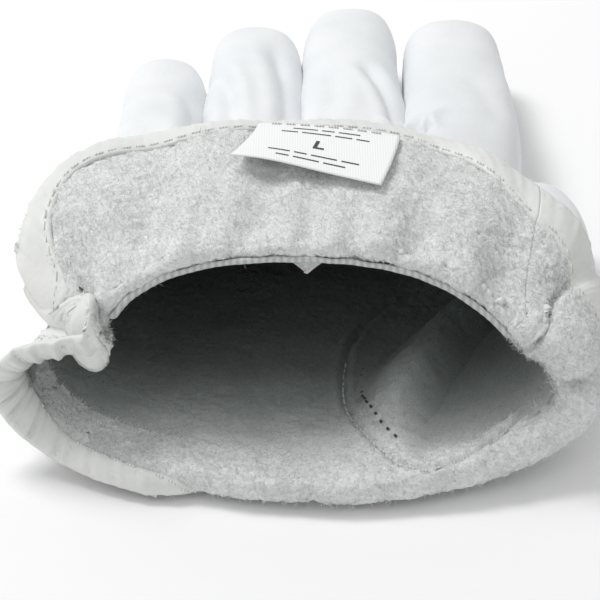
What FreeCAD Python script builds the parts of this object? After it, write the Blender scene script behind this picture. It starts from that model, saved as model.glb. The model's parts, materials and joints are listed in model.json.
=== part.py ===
"""Left-hand welding glove of white goat leather, lying palm down with its cuff turned back.

Frame: +Z up, +Y towards the fingertips, +X towards the thumb, in millimetres. The model is drawn with
y = 0 at the base of the thumb and z = 0 at the table, and set down last with its origin in the middle of
its footprint. Every leather piece is a sheet of even thickness. The pieces of the hand and of the cuff
follow one hand-shaped tube, and each finger and the thumb has a tube of its own, so that the sheets meet
along the seams. Angles run round a tube: 0 is the thumb side, 90 the back, 180 the little-finger side.
"""
import FreeCAD
import Part
import math
import os

V = FreeCAD.Vector
PARTS = "parts"

# ---------------------------------------------------------------- driving dimensions
LEATHER = 1.0  # thickness of the goat leather
SEAM_GAP = 0.25  # from a sheet's edge to the middle of its seam
CLEAR = 0.3  # between a sheet and another that lies along it
RUNNING_GAP = 1.0  # from a hinge's axis to the leather on each side of it

WRIST_Y = -50.0  # where the cuff turns back over the back of the hand
MOUTH_LEAN = 30.0  # how much further the palm side reaches out of the mouth
MOUTH_BOW = 18.0  # how far the corners of the lower lip fall back
TURN_RADIUS = 2.2  # of the leather's middle where the cuff turns over

# Sections of the hand: y, little-finger side x, thumb side x, lowest z, highest z.
HAND = (
    (-80.0, -61.0, 61.0, 6.7, 50.0),
    (-50.0, -58.0, 59.5, 6.7, 47.0),
    (-28.0, -55.0, 59.0, 4.2, 44.5),
    (-6.0, -51.0, 52.5, 1.2, 41.0),
    (6.0, -49.5, 45.5, 0.4, 38.2),
    (18.0, -49.0, 43.8, 0.35, 35.0),
    (34.0, -48.5, 45.2, 0.35, 31.0),
    (50.0, -48.0, 55.4, 0.9, 26.5),
)
ROUND_TOP, ROUND_BASE = 2.2, 3.0  # superellipse powers of the back and of the palm

THUMB_SIDE_SEAM = 35.0
VENT_BACK, VENT_PALM = 164.0, 174.0
PINCH_ANGLE, PINCH_WIDTH, PINCH_DEPTH = 172.0, 26.0, 3.5  # where the vent pulls the mouth's side in
LIP_DROP = 5.0  # how far the unfolded lip at the little-finger side sinks to the table

# Leather past the mouth's edge, turned back over the hand and under the palm: angle, length.
TURNED_BACK = (
    (-106.0, 17.5), (-90.0, 22.0), (-70.0, 29.0), (-40.0, 36.0), (-10.0, 42.0), (35.0, 58.0),
    (90.0, 65.0), (130.0, 62.0), (148.0, 52.0), (157.0, 40.0), (164.0, 27.0),
)
FLARE = 8.0  # how far the turned-back edge stands off the hand
THUMB_BULGE = 4.5  # how much further it stands off over the root of the thumb

BINDING_WIDTH, BINDING_THICK = 9.0, 0.8
BINDING_GAP = 0.5  # from the hem's leather to the strip folded round it
BINDING_END = 160.0  # angle at which the strip stops, a little short of the vent
ELASTIC_WIDTH, ELASTIC_THICK = 6.0, 0.9
THREAD, STITCH_LENGTH = 0.7, 2.6

# name, hinge y, x at the knuckle, x at the tip, y of the tip, half width, seams on its two sides
FINGERS = (
    ("little", 43.0, -36.0, -36.5, 106.0, 11.2, ("thumb",)),
    ("ring", 49.0, -11.6, -11.3, 131.0, 11.6, ("thumb", "little")),
    ("middle", 51.0, 14.0, 14.6, 147.0, 12.2, ("thumb", "little")),
    ("index", 49.0, 42.0, 41.6, 138.0, 13.4, ("little",)),
)
FINGER_HALF_HEIGHT, FINGER_TIP_HALF_HEIGHT = 12.2, 10.6
FINGER_SIDE = 38.0  # half of the angle that a finger's side strip takes up
HINGE_Z = 13.4
CURL_SLOPE, LIFT_SLOPE = math.tan(math.radians(33.0)), math.tan(math.radians(9.0))

THUMB_HINGE = (47.5, 9.0)  # x, y of its upright axis
SWING_SLOPE = math.tan(math.radians(20.0))
THUMB_TIP_Y = 41.0
# Sections of the thumb: y, middle x, half width, middle z, half height.
THUMB = (
    (-44.0, 43.0, 14.5, 22.5, 11.5),
    (-22.0, 49.0, 14.0, 19.0, 12.0),
    (-6.0, 55.5, 13.0, 15.0, 11.9),
    (6.0, 59.3, 12.0, 12.9, 11.6),
    (20.0, 59.6, 12.0, 12.2, 11.3),
    (44.0, 58.4, 11.2, 11.2, 10.4),
)
THUMB_HOLE_START, THUMB_HOLE_END = -34.0, 5.0

LABEL_ANGLE, LABEL_SPAN, LABEL_LENGTH, LABEL_THICK = 84.0, 16.5, 25.0, 0.4
LABEL_INSET = 11.0  # from the hem to the label's sewn edge
TAB_WIDTH, TAB_DROP = 14.0, 5.5  # the loose leather corner under the elastic


# ---------------------------------------------------------------- curves and sections
def smooth(low, high, x):
    """0 below low, 1 above high, and a smooth ramp between them."""
    share = min(1.0, max(0.0, (x - low) / (high - low)))
    return share * share * (3 - 2 * share)


def along(rows, x):
    """The rest of a row at x, on a smooth curve through the rows."""
    last = len(rows) - 2
    i = max(0, min(last, sum(1 for row in rows if row[0] <= x) - 1))
    a, b = rows[i], rows[i + 1]
    before, after = rows[max(0, i - 1)], rows[min(last + 1, i + 2)]
    span = b[0] - a[0]
    t = (x - a[0]) / span
    values = []
    for k in range(1, len(a)):
        leave = (b[k] - before[k]) / (b[0] - before[0]) * span
        arrive = (after[k] - a[k]) / (after[0] - a[0]) * span
        values.append(a[k] * (2 * t ** 3 - 3 * t ** 2 + 1) + leave * (t ** 3 - 2 * t ** 2 + t)
                      + b[k] * (3 * t ** 2 - 2 * t ** 3) + arrive * (t ** 3 - t ** 2))
    return values


def oval(angle, half_width, half_height, power):
    """x and z of a superellipse in the direction of an angle in degrees."""
    c, s = math.cos(math.radians(angle)), math.sin(math.radians(angle))
    reach = (abs(c / half_width) ** power + abs(s / half_height) ** power) ** (-1.0 / power)
    return reach * c, reach * s


def roundness(height):
    """The superellipse power, for a height from -1 at the palm to 1 at the back."""
    return ROUND_BASE + (ROUND_TOP - ROUND_BASE) * smooth(-0.8, 0.8, height)


def hand_point(angle, y):
    """A point of the hand's wall, in the middle of the leather."""
    left, right, low, high = along(HAND, y)
    half_width, half_height = (right - left) / 2, (high - low) / 2
    tilt = math.degrees(math.atan2(half_height * math.sin(math.radians(angle)),
                                   half_width * math.cos(math.radians(angle))))
    power = roundness(math.sin(math.radians(tilt)))
    x, z = oval(tilt, half_width, half_height, power)
    x += (left + right) / 2
    z += (low + high) / 2
    near_mouth = 1 - smooth(-54.0, -30.0, y)
    turned = angle % 360
    x += PINCH_DEPTH * math.exp(-((turned - PINCH_ANGLE) / PINCH_WIDTH) ** 2) * near_mouth
    lip = smooth(182.0, 205.0, turned) * (1 - smooth(225.0, 250.0, turned))
    z -= LIP_DROP * lip * near_mouth * smooth(26.0, 12.0, z)
    return V(x, y, z)


def mouth_y(angle):
    """Where the hand's wall ends at the mouth, for each angle."""
    p = hand_point(angle, WRIST_Y)
    _, _, low, high = along(HAND, WRIST_Y)
    depth = 1 - (p.z - low) / (high - low)
    return WRIST_Y - MOUTH_LEAN * depth + MOUTH_BOW * ((p.x - 10.0) / 60.0) ** 2 * depth


def outward(angle, y):
    """The unit normal of the hand's wall, away from the hand, across the hand's length."""
    way = hand_point(angle + 0.5, y) - hand_point(angle - 0.5, y)
    return V(way.z, 0, -way.x).normalize()


def cuff_point(angle, length, lift=0.0):
    """A point on the leather past the mouth's edge, at a length round the turn and back over the hand."""
    start_y = mouth_y(angle) + TURN_RADIUS
    if length <= math.pi * TURN_RADIUS:
        turn = length / TURN_RADIUS
        out = TURN_RADIUS - (TURN_RADIUS + lift) * math.cos(turn)
        beyond = (TURN_RADIUS + lift) * math.sin(turn)
        return hand_point(angle, start_y) + outward(angle, start_y) * out - V(0, beyond, 0)
    back = length - math.pi * TURN_RADIUS
    y = start_y + back
    p = hand_point(angle, y)
    _, _, low, high = along(HAND, y)
    raised = smooth(0.12, 0.6, (p.z - low) / (high - low))
    turned = angle if angle < 180 else angle - 360
    bulge = THUMB_BULGE * smooth(-44.0, -14.0, y) * math.exp(-(turned / 45.0) ** 2)
    return p + outward(angle, y) * (2 * TURN_RADIUS + lift + FLARE * raised * smooth(0.0, 50.0, back) + bulge)


def turned_back(angle):
    """The length of leather past the mouth's edge at this angle."""
    return along(TURNED_BACK, angle if angle < 200 else angle - 360)[0]


def thumb_point(angle, y, inset=0.0, dome=1.0):
    """A point of the thumb's wall."""
    middle_x, half_width, middle_z, half_height = along(THUMB, y)
    x, z = oval(angle, (half_width - inset) * dome, (half_height - inset) * dome, 2.2)
    return V(middle_x + x, y, middle_z + z)


def finger_point(finger, angle, y, dome=1.0):
    """A point of a finger's wall."""
    _, hinge_y, knuckle_x, tip_x, tip_y, half_width, _ = finger
    share = (y - hinge_y) / (tip_y - hinge_y)
    height = FINGER_HALF_HEIGHT + (FINGER_TIP_HALF_HEIGHT - FINGER_HALF_HEIGHT) * share
    x, z = oval(angle, half_width * (1 - 0.07 * share) * dome, height * dome, 2.3)
    return V(knuckle_x + (tip_x - knuckle_x) * share + x, y, height + 1.0 + z)


# ---------------------------------------------------------------- solids from sheets
def grid(rows, columns, point):
    """Rows of points, from point(u, v) with u and v from 0 to 1."""
    return [[point(i / rows, j / columns) for j in range(columns + 1)] for i in range(rows + 1)]


def normal_at(points, i, j):
    """The unit normal of a grid of points at one of them."""
    up = points[min(i + 1, len(points) - 1)][j] - points[max(i - 1, 0)][j]
    across = points[i][min(j + 1, len(points[i]) - 1)] - points[i][max(j - 1, 0)]
    return up.cross(across).normalize()


def between(lower, upper):
    """A closed solid between two grids of points that face each other."""
    surfaces = []
    for points in (lower, upper):
        surface = Part.BSplineSurface()
        surface.interpolate(points)
        surfaces.append(surface)
    u0, u1, v0, v1 = surfaces[0].bounds()
    sides = [(s.uIso(u0), s.uIso(u1), s.vIso(v0), s.vIso(v1)) for s in surfaces]
    faces = [s.toShape() for s in surfaces]
    faces += [Part.makeRuledSurface(a.toShape(), b.toShape(), 1) for a, b in zip(*sides)]
    shell = Part.makeShell(faces)
    shell.sewShape()
    if Part.makeSolid(shell).Volume < 0:
        shell.reverse()
    return Part.makeSolid(shell)


def sheet(points, thick=LEATHER):
    """A closed solid of even thickness, with the grid of points in its middle."""
    return between(*([[p + normal_at(points, i, j) * offset for j, p in enumerate(row)]
                      for i, row in enumerate(points)] for offset in (-thick / 2, thick / 2)))


def core(ring, places):
    """A solid through closed rings of points, one at each place along y."""
    wires = []
    for y in places:
        curve = Part.BSplineCurve()
        curve.interpolate([ring(angle, y) for angle in range(0, 360, 15)], PeriodicFlag=True)
        wires.append(Part.Wire(curve.toShape()))
    return Part.makeLoft(wires, True)


def thread(point, count, first, last):
    """Short lengths of thread laid end to end on a curve, point(v) with v from first to last."""
    stitches = []
    for k in range(count):
        v = first + (last - first) * (k + 0.5) / count
        middle, way = point(v), point(v + 0.002) - point(v - 0.002)
        way.normalize()
        stitches.append(Part.makeCylinder(THREAD / 2, STITCH_LENGTH, middle - way * (STITCH_LENGTH / 2), way))
    return stitches


# ---------------------------------------------------------------- hand and cuff
def knuckle_y(x):
    """The y of the finger hinges, at this x across the knuckles."""
    little, ring, middle, index = (finger[1] for finger in FINGERS)
    y = little + (ring - little) * smooth(-30.0, -18.0, x)
    return y + (middle - ring) * smooth(-4.0, 6.0, x) + (index - middle) * smooth(24.0, 34.0, x)


def end_of_hand(angle):
    """Where the hand's wall stops, short of the wedges that the fingers bend into."""
    p = hand_point(angle, HAND[-2][0])
    slope = LIFT_SLOPE if p.z > HINGE_Z else CURL_SLOPE
    return knuckle_y(p.x) - RUNNING_GAP - abs(p.z - HINGE_Z) * slope


def hand_sheet(first, last):
    """The hand's wall between two angles, from the knuckles to the mouth."""
    def point(u, v):
        angle = first + (last - first) * v
        start, end = end_of_hand(angle), mouth_y(angle) + TURN_RADIUS + 0.1
        return hand_point(angle, start + (end - start) * u)
    return sheet(grid(20, 26, point))


def cuff_sheet(first, last):
    """The leather past the mouth's edge between two angles."""
    def side(lift):
        def point(u, v):
            angle = first + (last - first) * v
            return cuff_point(angle, 0.1 + (turned_back(angle) - 0.1) * u ** 1.25, lift)
        return grid(30, 26, point)
    return between(side(-LEATHER / 2), side(LEATHER / 2))


def hand_panels():
    """The back, and the palm that wraps round the thumb side and holds the thumb's hole."""
    hole = core(lambda angle, y: thumb_point(angle, y, -LEATHER / 2 - CLEAR), THUMB_RINGS)
    table = Part.makeBox(300, 300, 20, V(-150, -150, -20))
    back = hand_sheet(THUMB_SIDE_SEAM + SEAM_GAP, VENT_BACK)
    palm = hand_sheet(VENT_PALM - 360, THUMB_SIDE_SEAM - SEAM_GAP)
    return {
        "back_panel": [back.cut(hole)],
        "palm_panel": [palm.cut(hole).cut(table)],
        "cuff_back": [cuff_sheet(THUMB_SIDE_SEAM + SEAM_GAP, VENT_BACK)],
        "cuff_palm": [cuff_sheet(TURNED_BACK[0][0], THUMB_SIDE_SEAM - SEAM_GAP)],
    }


def from_hem(angle, past, lift):
    """A point at a distance square to the hem, past it where that is above 0, and at a height above the leather."""
    hem = turned_back(angle)
    here = cuff_point(angle, hem)
    per_degree = cuff_point(angle + 0.05, hem) - cuff_point(angle - 0.05, hem)
    per_degree.multiply(10.0)
    per_length = here - cuff_point(angle, hem - 0.5)
    per_length.multiply(2.0)
    rise = (turned_back(angle + 0.05) - turned_back(angle - 0.05)) * 10.0
    along_hem = per_degree + per_length * rise
    square = per_length - along_hem * (per_length.dot(along_hem) / along_hem.dot(along_hem))
    square.normalize()
    skew = per_degree.dot(per_length)
    wide, tall = per_degree.dot(per_degree), per_length.dot(per_length)
    reach_degree, reach_length = square.dot(per_degree), square.dot(per_length)
    spread = wide * tall - skew * skew
    degrees = (reach_degree * tall - reach_length * skew) / spread
    length = (reach_length * wide - reach_degree * skew) / spread
    return cuff_point(angle + degrees * past, hem + length * past, lift)


def hem_binding():
    """The strip of smooth leather folded round the hem, on the turned-back cuff and on the unfolded lip."""
    inside = LEATHER / 2 + BINDING_GAP

    def wrap(place, away):
        """How far past the hem and how high above the leather, along the folded strip from 0 to 1."""
        if place < 0.3:
            return -BINDING_WIDTH * (1 - place / 0.3), away
        if place > 0.7:
            return -BINDING_WIDTH * (place - 0.7) / 0.3, -away
        turn = (place - 0.3) / 0.4 * math.pi
        return away * math.sin(turn), away * math.cos(turn)

    def strip(columns, point):
        return between(*(grid(30, columns, lambda u, v: point(v, *wrap(u, away)))
                         for away in (inside, inside + BINDING_THICK)))

    def folded(first, last):
        return strip(40, lambda v, past, lift: from_hem(first + (last - first) * v, past, lift))

    def unfolded(v, past, lift):
        angle = VENT_PALM + 1 + (360 + TURNED_BACK[0][0] - VENT_PALM - 3) * v
        y = mouth_y(angle) + TURN_RADIUS + 0.1 - past
        return hand_point(angle, y) + outward(angle, y) * lift
    return {
        "hem_binding_back": [folded(THUMB_SIDE_SEAM + SEAM_GAP, BINDING_END)],
        "hem_binding_palm": [folded(TURNED_BACK[0][0] + 1, THUMB_SIDE_SEAM - SEAM_GAP), strip(16, unfolded)],
    }


def hem_stitches():
    """The row of thread along the binding's free edge."""
    lift = LEATHER / 2 + BINDING_GAP + BINDING_THICK + THREAD / 2 + 0.15

    def on_hem(angle):
        return from_hem(angle, 1.4 - BINDING_WIDTH, lift)
    return {"hem_stitches": thread(on_hem, 46, 38.0, 160.0) + thread(on_hem, 14, -20.0, 32.0)}


def mouth_trim():
    """The elastic strip inside the top of the mouth, its thread, and the loose corner of leather below it."""
    inside = LEATHER / 2 + CLEAR + ELASTIC_THICK / 2

    def strip(angle, y_in, inset):
        y = mouth_y(angle) + TURN_RADIUS + y_in
        return hand_point(angle, y) - outward(angle, y) * inset

    def elastic(u, v):
        return strip(30.0 + 130.0 * v, 1.0 + ELASTIC_WIDTH * u, inside)

    def seam(angle):
        return strip(angle, 1.0 + ELASTIC_WIDTH / 2, inside + ELASTIC_THICK / 2 + THREAD / 2 + 0.1)

    top = strip(90.0, 3.0, inside + ELASTIC_THICK / 2 + THREAD + 0.4)
    corners = [top - V(TAB_WIDTH / 2, 0, 0.9), top + V(TAB_WIDTH / 2, 0, -0.9), top - V(0, 3.0, TAB_DROP)]
    tab = Part.Face(Part.makePolygon(corners + corners[:1])).extrude(V(0, LEATHER, 0))
    return {
        "elastic_band": [sheet(grid(4, 30, elastic), ELASTIC_THICK)],
        "elastic_stitches": thread(seam, 44, 32.0, 158.0),
        "corner_tab": [tab],
    }


# ---------------------------------------------------------------- thumb
THUMB_RINGS = [THUMB_HOLE_START + (THUMB_HOLE_END - THUMB_HOLE_START) * k / 5 for k in range(6)]


def thumb_pieces():
    """The gusset that joins the thumb to the hand, the two halves of the thumb, and the hole's thread."""
    hinge_x, hinge_y = THUMB_HINGE

    def gusset(u, v):
        angle = -177 + 354 * v
        edge = thumb_point(angle, hinge_y)
        end = hinge_y - RUNNING_GAP - abs(edge.x - hinge_x) * SWING_SLOPE
        return thumb_point(angle, THUMB_HOLE_START + (end - THUMB_HOLE_START) * u)

    def half(first, last):
        def point(u, v):
            angle = first + (last - first) * v
            edge = thumb_point(angle, hinge_y)
            start = hinge_y + RUNNING_GAP + abs(edge.x - hinge_x) * SWING_SLOPE
            return capped(u, start, THUMB_TIP_Y, 11.5, lambda y, dome: thumb_point(angle, y, 0.0, dome))
        return sheet(grid(18, 14, point))

    def seam(angle):
        return thumb_point(angle, gusset_start(angle) + 2.5, -LEATHER / 2 - THREAD / 2 - 0.1)

    body = core(lambda angle, y: hand_point(angle, y) + outward(angle, y) * (LEATHER / 2 + CLEAR),
                (-44.0, -34.0, -26.0, -18.0, -10.0, -2.0, 6.0, 14.0, 22.0))
    return {
        "thumb_gusset": [sheet(grid(16, 34, gusset)).cut(body)],
        "thumb_front": [half(181.0, 359.0)],
        "thumb_back": [half(1.0, 179.0)],
        "thumb_seam_stitches": thread(seam, 20, -70.0, 70.0),
    }


def gusset_start(angle):
    """The y at which the thumb's wall comes out of the hand's."""
    for step in range(80):
        y = THUMB_HOLE_START + step * 0.5
        p = thumb_point(angle, y)
        left, right, low, high = along(HAND, y)
        x, z = p.x - (left + right) / 2, p.z - (low + high) / 2
        power = roundness(z / (high - low) * 2)
        if abs(x / (right - left + 2) * 2) ** power + abs(z / (high - low + 2) * 2) ** power > 1:
            return y
    return THUMB_HOLE_END


def capped(u, start, tip, round_length, point):
    """A point on a tube that runs from start and is rounded off at its tip: u goes from 0 to 1."""
    straight_end = tip - round_length
    if u < 0.6:
        return point(start + (straight_end - start) * u / 0.6, 1.0)
    turn = math.radians(80) * (u - 0.6) / 0.4
    return point(straight_end + round_length * math.sin(turn), math.cos(turn))


# ---------------------------------------------------------------- fingers
def finger_pieces(finger):
    """The back and front of one finger, and the side strips that face its neighbours."""
    name, hinge_y, _, _, tip_y, half_width, strips = finger

    def panel(first, last):
        def point(u, v):
            angle = first + (last - first) * v
            edge = finger_point(finger, angle, hinge_y)
            slope = LIFT_SLOPE if edge.z > HINGE_Z else CURL_SLOPE
            start = hinge_y + RUNNING_GAP + abs(edge.z - HINGE_Z) * slope
            return capped(u, start, tip_y, half_width * 1.1, lambda y, dome: finger_point(finger, angle, y, dome))
        return sheet(grid(20, 12, point))
    gap = 1.2
    thumb_side = FINGER_SIDE if "thumb" in strips else -20.0
    little_side = 180 - FINGER_SIDE if "little" in strips else 200.0
    pieces = {name + "_back": [panel(thumb_side + gap, little_side - gap)]}
    front_end = 360 - FINGER_SIDE if "thumb" in strips else 340.0
    front_start = 180 + FINGER_SIDE if "little" in strips else 200.0
    pieces[name + "_front"] = [panel(front_start + gap, front_end - gap)]
    for side in strips:
        middle = 0 if side == "thumb" else 180
        label = name + "_side_strip_" + ("a" if side == "thumb" else "b")
        pieces[label] = [panel(middle - FINGER_SIDE + gap, middle + FINGER_SIDE - gap)]
    return pieces


# ---------------------------------------------------------------- label
def label_pieces():
    """The cloth label, sewn to the turned-back cuff along one edge, and its thread."""
    lift = LEATHER / 2 + CLEAR + LABEL_THICK / 2 + 0.2
    sewn = turned_back(LABEL_ANGLE) - LABEL_INSET

    def point(u, v):
        return cuff_point(LABEL_ANGLE + LABEL_SPAN * (2 * v - 1), sewn - LABEL_LENGTH * u, lift + 0.8 * u * u)

    def seam(v):
        return point(0.06, v) + V(0, 0, LABEL_THICK / 2 + THREAD / 2 + 0.1)
    return {
        "label": [sheet(grid(10, 14, point), LABEL_THICK)],
        "label_stitches": thread(seam, 9, 0.04, 0.96),
    }


# ---------------------------------------------------------------- the whole glove
def write(pieces):
    """Sets the glove down with its origin in the middle of its footprint, and writes a STEP for each piece."""
    whole = Part.makeCompound([solid for solids in pieces.values() for solid in solids]).optimalBoundingBox()
    shift = V(-whole.Center.x, -whole.Center.y, -whole.ZMin)
    print(f"moved by {shift.x:.3f} {shift.y:.3f} {shift.z:.3f},",
          f"size {whole.XLength:.1f} {whole.YLength:.1f} {whole.ZLength:.1f}")
    for name, solids in pieces.items():
        shape = solids[0] if len(solids) == 1 else Part.makeCompound(solids)
        good = all(s.isValid() and s.isClosed() and s.Volume > 0 for s in shape.Solids)
        shape = shape.translated(shift)
        shape.exportStep(os.path.join(PARTS, name + ".step"))
        box = shape.optimalBoundingBox()
        print(f"{name:22s} {'ok ' if good else 'BAD'} {len(shape.Solids):3d} {shape.Volume:9.1f}",
              f"x {box.XMin:6.1f} {box.XMax:6.1f}  y {box.YMin:6.1f} {box.YMax:6.1f}  z {box.ZMin:5.1f} {box.ZMax:5.1f}")


def glove():
    """Every piece of the glove: its name, and its solids."""
    pieces = {}
    for group in (hand_panels(), hem_binding(), hem_stitches(), mouth_trim(), thumb_pieces(), label_pieces()):
        pieces.update(group)
    for finger in FINGERS:
        pieces.update(finger_pieces(finger))
    return pieces


if __name__ == "__main__":
    os.makedirs(PARTS, exist_ok=True)
    write(glove())
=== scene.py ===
# %% [markdown]
# # A welder's glove in white goat leather
# This is the thin, soft kind of glove that a TIG welder wears: smooth grain leather outside and fuzzy
# flesh-side leather inside. It lies palm down with its cuff turned back, so most of what shows is the
# flesh side. The lesson starts from the CAD frame and gives each piece its real surface. All sizes are
# in millimetres, in the working axes of the next cell, and one function turns them to metres.

# %% Load the frame
import json
import math

import bmesh
import bpy
import numpy as np
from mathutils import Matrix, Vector, noise


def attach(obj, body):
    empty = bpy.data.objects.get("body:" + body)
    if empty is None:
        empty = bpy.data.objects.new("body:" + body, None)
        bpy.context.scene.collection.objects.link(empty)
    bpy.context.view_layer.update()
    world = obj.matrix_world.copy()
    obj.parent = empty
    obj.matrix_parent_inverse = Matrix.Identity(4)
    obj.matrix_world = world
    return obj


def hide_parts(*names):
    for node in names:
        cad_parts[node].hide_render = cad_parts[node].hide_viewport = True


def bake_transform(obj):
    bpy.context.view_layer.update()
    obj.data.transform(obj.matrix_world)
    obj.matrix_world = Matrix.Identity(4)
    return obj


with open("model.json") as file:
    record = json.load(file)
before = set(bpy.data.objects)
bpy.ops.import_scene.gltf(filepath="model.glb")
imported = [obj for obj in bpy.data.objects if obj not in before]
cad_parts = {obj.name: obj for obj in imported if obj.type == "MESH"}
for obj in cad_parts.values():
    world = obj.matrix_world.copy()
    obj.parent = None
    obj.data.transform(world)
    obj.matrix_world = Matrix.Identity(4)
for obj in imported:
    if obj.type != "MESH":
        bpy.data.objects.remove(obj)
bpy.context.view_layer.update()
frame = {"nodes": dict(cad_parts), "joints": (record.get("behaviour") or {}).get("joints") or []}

bpy.ops.object.select_all(action="DESELECT")
joints = {j["name"]: j for j in frame["joints"]}
print("CAD nodes:", len(frame["nodes"]), "joints:", sorted(joints))

# %% [markdown]
# The working axes have x = 0 in the middle of the wrist, y = 0 at the base of the thumb and z = 0 on the
# table. The thumb's hinge is at a known place in them, so it says where they lie in the frame.

# %% Working axes
THUMB_HINGE = (47.5, 9.0)
SET_X = joints["thumb_swing"]["pos_m"][0] * 1000 - THUMB_HINGE[0]
SET_Y = joints["thumb_swing"]["pos_m"][1] * 1000 - THUMB_HINGE[1]


def place(x, y, z):
    """A point in the frame, in metres, from millimetres in the working axes."""
    return ((x + SET_X) / 1000, (y + SET_Y) / 1000, z / 1000)


print(f"the working axes start at {SET_X:.1f}, {SET_Y:.1f} mm in the frame")

# %% [markdown]
# ## The shape that all the leather follows
# The hand, its lining and its cuff are one bag, so one function describes its wall: a rounded, flattened
# ring at each place along the hand. t is the angle round the ring in degrees: 0 at the thumb side, 90 on
# the back, 180 at the little-finger side and 270 at the palm.

# %% The hand's wall
# y, little-finger side x, thumb side x, lowest z, highest z
HAND = np.array([
    (-84, -61, 55, 6.2, 49), (-50, -58, 54, 6.2, 46), (-28, -55, 55, 4.2, 43.5), (-6, -51, 51.5, 1.9, 40),
    (6, -49.5, 46, 1.2, 37.5), (18, -49, 44.2, 1.0, 34), (34, -48.5, 45.5, 1.0, 30), (50, -48, 55.4, 1.2, 26),
    (70, -48, 55, 1.4, 25)], float)
WRIST_Y, MOUTH_LEAN, MOUTH_BOW = -50.0, 30.0, 18.0
TURN = 2.6  # radius at which the leather turns over at the mouth


def smooth(low, high, x):
    """0 below low, 1 above high, and a smooth ramp between them."""
    s = np.clip((np.asarray(x, float) - low) / (high - low), 0, 1)
    return s * s * (3 - 2 * s)


def along(rows, x):
    """The other columns of a table at x, on a smooth curve through its rows."""
    x = np.asarray(x, float)
    i = np.clip(np.searchsorted(rows[:, 0], x, side="right") - 1, 0, len(rows) - 2)
    a, b = rows[i], rows[i + 1]
    before, after = rows[np.maximum(i - 1, 0)], rows[np.minimum(i + 2, len(rows) - 1)]
    span = (b[..., 0] - a[..., 0])[..., None]
    t = ((x - a[..., 0]) / span[..., 0])[..., None]
    leave = (b - before) / (b[..., :1] - before[..., :1]) * span
    arrive = (after - a) / (after[..., :1] - a[..., :1]) * span
    value = (a * (2 * t ** 3 - 3 * t ** 2 + 1) + leave * (t ** 3 - 2 * t ** 2 + t)
             + b * (3 * t ** 2 - 2 * t ** 3) + arrive * (t ** 3 - t ** 2))
    return value[..., 1:]


def near(t, centre, width):
    """1 at an angle and falling off round it, like a bell."""
    away = (np.asarray(t, float) - centre + 180) % 360 - 180
    return np.exp(-(away / width) ** 2)


def wall(t, y):
    """Points of the hand's wall, in the middle of the leather."""
    t, y = np.broadcast_arrays(np.asarray(t, float), np.asarray(y, float))
    left, right, low, high = np.moveaxis(along(HAND, y), -1, 0)
    a, b = (right - left) / 2, (high - low) / 2
    c, s = np.cos(np.radians(t)) * a, np.sin(np.radians(t)) * b
    length = np.hypot(c, s)
    c, s = c / length, s / length
    power = 3.0 - 0.8 * smooth(-0.8, 0.8, s)
    reach = (np.abs(c / a) ** power + np.abs(s / b) ** power) ** (-1 / power)
    x, z = reach * c + (left + right) / 2, reach * s + (low + high) / 2
    mouth = 1 - smooth(-56, -26, y)
    flare = 15.0 * near(t, 170, 11) + 8.5 * near(t, 150, 15) - 3.0 * near(t, 18, 18) + 5.5 * near(t, -33, 20)
    x = x + flare * mouth
    z = z - (8.5 * near(t, 144, 21) + 7.0 * near(t, 30, 24)) * mouth
    lip = smooth(178, 200, t % 360) * (1 - smooth(222, 252, t % 360))
    z = z - 2.6 * lip * mouth * smooth(27, 12, z)
    x = x - 6.5 * lip * mouth * near(t, 203, 26)
    return np.stack([x, y, z], -1)


def mouth_y(t):
    """Where the mouth's edge is along y, for each angle."""
    p = wall(t, WRIST_Y)
    depth = np.clip(1 - (p[..., 2] - 6.2) / 39.8, 0, 1)
    return WRIST_Y - MOUTH_LEAN * depth + MOUTH_BOW * ((p[..., 0] - 10) / 60) ** 2 * depth


def outward(t, y):
    """The wall's unit normal across the hand."""
    way = wall(t + 0.6, y) - wall(t - 0.6, y)
    n = np.stack([way[..., 2], np.zeros_like(way[..., 0]), -way[..., 0]], -1)
    return n / np.linalg.norm(n, axis=-1, keepdims=True)


print("the mouth is", round(float(wall(0, WRIST_Y)[0] - wall(180, WRIST_Y)[0])), "mm wide")

# %% [markdown]
# Past the mouth's edge the leather turns over and lies back on the hand, as far as its hem. s is the
# distance along the leather from the edge: below 0 it is inside the hand, and above 0 it is turned back.
# The elastic draws the edge up, so creases run out from it, deep at the edge and fading towards the hem.

# %% The cuff's surface
# angle, length turned back
TURNED = np.array([(-185, 9), (-176, 10), (-160, 10), (-130, 9), (-118, 9), (-112, 12), (-104, 18), (-90, 22),
                   (-70, 28), (-40, 33), (-10, 36), (15, 38), (27, 41), (37, 47), (48, 56), (62, 62), (90, 66),
                   (130, 65), (148, 57), (158, 44), (166, 27), (171, 15), (175, 9)], float)
# angle, width in degrees, depth, how far it runs, how much it slants
CREASES = ((138, 4, 2.4, 22, 0.10), (129, 3.0, 2.6, 16, -0.05), (120, 3.2, 4.2, 26, 0.06), (110, 2.6, 2.4, 14, 0.0),
           (101, 3.0, 4.2, 30, -0.05), (93, 2.4, 2.8, 16, 0.04), (87, 3.0, 4.0, 24, 0.0), (77, 2.6, 2.0, 14, 0.0),
           (65, 3.4, 4.0, 28, -0.08), (56, 2.8, 2.2, 15, 0.0), (47, 3.6, 3.6, 26, -0.10), (38, 3.5, 2.4, 20, 0.0),
           (22, 3.0, 3.2, 30, -0.10), (-14, 3.4, 3.0, 26, -0.12))


def turned(t):
    """The length of leather past the mouth's edge at each angle."""
    t = np.asarray(t, float)
    return np.maximum(along(TURNED, np.where(t > 175, t - 360, t))[..., 0], 0)


def turn_radius(t):
    """How tightly the leather turns over: hardly at all where the lip is left unfolded."""
    t = np.asarray(t, float) % 360
    return TURN + 6.5 * smooth(164, 182, t) * (1 - smooth(232, 252, t)) + 3.0 * near(t, -5, 34)


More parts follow.
